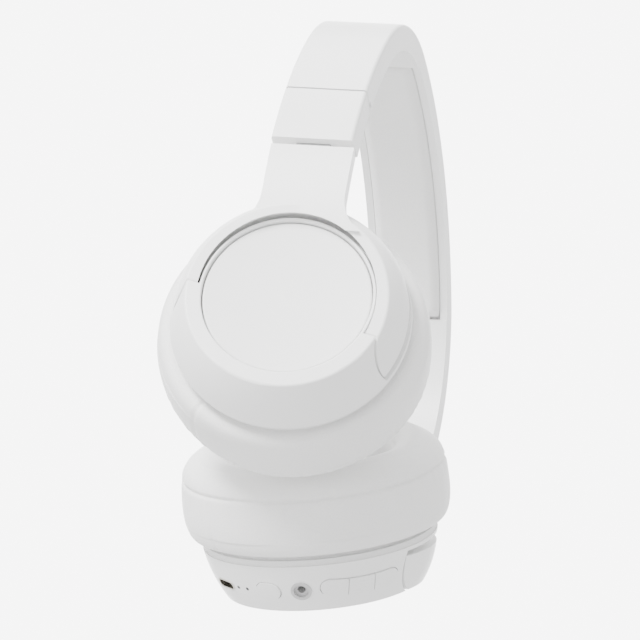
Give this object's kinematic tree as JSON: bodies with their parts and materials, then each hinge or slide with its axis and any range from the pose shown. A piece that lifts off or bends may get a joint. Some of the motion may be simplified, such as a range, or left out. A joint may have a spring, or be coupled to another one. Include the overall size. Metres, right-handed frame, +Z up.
{
  "type": "over ear headphones",
  "caption": "Foldable wireless over-ear headphones: padded headband, sliding size arms, forked yokes, tilting ear cups with soft cushions, and keys, audio jack and charging port on one cup.",
  "frame": {"origin": "middle of the headband pad's inner face, where the band rests on the head", "axes": "+Z up, +X to the wearer's right, +Y to the wearer's front"},
  "size_m": [0.1664, 0.0837, 0.1743],
  "materials": {
    "satin_white_plastic": "satin",
    "pale_plastic": "satin",
    "white_leatherette": "soft grain",
    "spring_steel": "brushed",
    "dark_plastic": "matte",
    "magnet_steel": "plated",
    "diaphragm_film": "clear film",
    "mesh_cloth": "woven",
    "circuit_board": "solder mask",
    "battery_wrap": "shrink film",
    "nickel_brass": "plated"
  },
  "bodies": {
    "headband": {"headband_shell": "satin_white_plastic", "spring_band": "spring_steel", "headband_inner_cover": "satin_white_plastic", "headband_pad": "white_leatherette", "hinge_bracket_left": "spring_steel", "hinge_bracket_right": "spring_steel", "fold_pin_left": "spring_steel", "fold_pin_right": "spring_steel"},
    "hinge_left": {"end_cap_outer_left": "satin_white_plastic", "end_cap_inner_left": "satin_white_plastic", "end_cap_screws_left": "spring_steel"},
    "yoke_left": {"slider_left": "spring_steel", "yoke_left": "satin_white_plastic", "pivot_pins_left": "spring_steel"},
    "cup_left": {"cup_housing_left": "satin_white_plastic", "cup_cap_left": "satin_white_plastic", "baffle_left": "pale_plastic", "baffle_screws_left": "spring_steel", "cushion_carrier_left": "pale_plastic", "ear_cushion_left": "white_leatherette", "ear_screen_left": "mesh_cloth", "driver_frame_left": "dark_plastic", "driver_magnet_left": "magnet_steel", "driver_diaphragm_left": "diaphragm_film", "battery": "battery_wrap"},
    "hinge_right": {"end_cap_outer_right": "satin_white_plastic", "end_cap_inner_right": "satin_white_plastic", "end_cap_screws_right": "spring_steel"},
    "yoke_right": {"slider_right": "spring_steel", "yoke_right": "satin_white_plastic", "pivot_pins_right": "spring_steel"},
    "cup_right": {"cup_housing_right": "satin_white_plastic", "cup_cap_right": "satin_white_plastic", "baffle_right": "pale_plastic", "baffle_screws_right": "spring_steel", "cushion_carrier_right": "pale_plastic", "ear_cushion_right": "white_leatherette", "ear_screen_right": "mesh_cloth", "driver_frame_right": "dark_plastic", "driver_magnet_right": "magnet_steel", "driver_diaphragm_right": "diaphragm_film", "main_board": "circuit_board", "jack_socket": "dark_plastic", "charging_port": "nickel_brass", "status_lamp": "dark_plastic", "microphone_mesh": "dark_plastic"},
    "volume_up_key": {"volume_up_key": "satin_white_plastic"},
    "play_key": {"play_key": "satin_white_plastic"},
    "volume_down_key": {"volume_down_key": "satin_white_plastic"},
    "power_key": {"power_key": "satin_white_plastic"}
  },
  "joints": [
    {"name": "fold_left", "type": "hinge", "parent": "headband", "child": "hinge_left", "pos_m": [-0.07562, 0, -0.06704], "axis": [0, 1, 0], "range_deg": [-75, 0], "deforming": ["ear_cushion_left", "ear_cushion_right"]},
    {"name": "fold_right", "type": "hinge", "parent": "headband", "child": "hinge_right", "pos_m": [0.07562, 0, -0.06704], "axis": [0, 1, 0], "range_deg": [0, 75], "deforming": ["ear_cushion_left", "ear_cushion_right"]},
    {"name": "size_slide_left", "type": "slide", "parent": "hinge_left", "child": "yoke_left", "axis": [0.184, 0, -0.9829], "range_m": [0, 0.014], "deforming": ["ear_cushion_left", "ear_cushion_right"]},
    {"name": "size_slide_right", "type": "slide", "parent": "hinge_right", "child": "yoke_right", "axis": [-0.184, 0, -0.9829], "range_m": [0, 0.014], "deforming": ["ear_cushion_left", "ear_cushion_right"]},
    {"name": "cup_tilt_left", "type": "hinge", "parent": "yoke_left", "child": "cup_left", "pos_m": [-0.04684, 0, -0.13152], "axis": [-0.1741, 0.9744, 0.142], "range_deg": [-7, 7], "deforming": ["ear_cushion_left", "ear_cushion_right"]},
    {"name": "cup_tilt_right", "type": "hinge", "parent": "yoke_right", "child": "cup_right", "pos_m": [0.04684, 0, -0.13152], "axis": [0.1741, 0.9744, 0.142], "range_deg": [-9, 4], "deforming": ["ear_cushion_left", "ear_cushion_right"]},
    {"name": "press_volume_up_key", "type": "slide", "parent": "cup_right", "child": "volume_up_key", "axis": [-0.0406, -0.567, -0.8227], "range_m": [-0.0004, 0], "stiffness_N_per_m": 1500, "springref_m": 0.0005},
    {"name": "press_play_key", "type": "slide", "parent": "cup_right", "child": "play_key", "axis": [-0.0406, -0.567, -0.8227], "range_m": [-0.0004, 0], "stiffness_N_per_m": 1500, "springref_m": 0.0005},
    {"name": "press_volume_down_key", "type": "slide", "parent": "cup_right", "child": "volume_down_key", "axis": [-0.0406, -0.567, -0.8227], "range_m": [-0.0004, 0], "stiffness_N_per_m": 1500, "springref_m": 0.0005},
    {"name": "press_power_key", "type": "slide", "parent": "cup_right", "child": "power_key", "axis": [-0.0268, 0.1977, -0.9799], "range_m": [-0.0004, 0], "stiffness_N_per_m": 1500, "springref_m": 0.0005}
  ]
}
